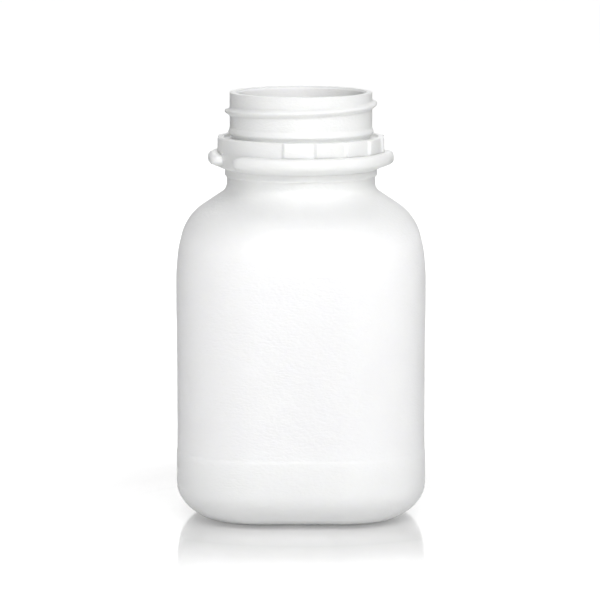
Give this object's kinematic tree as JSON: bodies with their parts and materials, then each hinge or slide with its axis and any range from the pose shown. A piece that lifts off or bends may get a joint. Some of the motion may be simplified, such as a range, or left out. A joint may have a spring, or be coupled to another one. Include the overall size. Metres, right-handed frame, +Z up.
{
  "type": "reagent bottle",
  "caption": "Square wide-mouth laboratory bottle in natural HDPE, open, with a screw-threaded neck, a ratchet ring for a tamper-evident cap and a transfer ring",
  "frame": {"origin": "centre of the base, on the surface that the bottle stands on", "axes": "+Z up along the neck's axis, -Y towards the front face, +X to the right seen from the front"},
  "size_m": [0.0612, 0.0612, 0.105],
  "materials": {
    "hdpe": "satin, milky translucent, uncoloured"
  },
  "bodies": {
    "root": {"base": "hdpe", "side_wall": "hdpe", "shoulder": "hdpe", "neck": "hdpe", "ratchet_ring": "hdpe", "transfer_ring": "hdpe"}
  },
  "joints": []
}
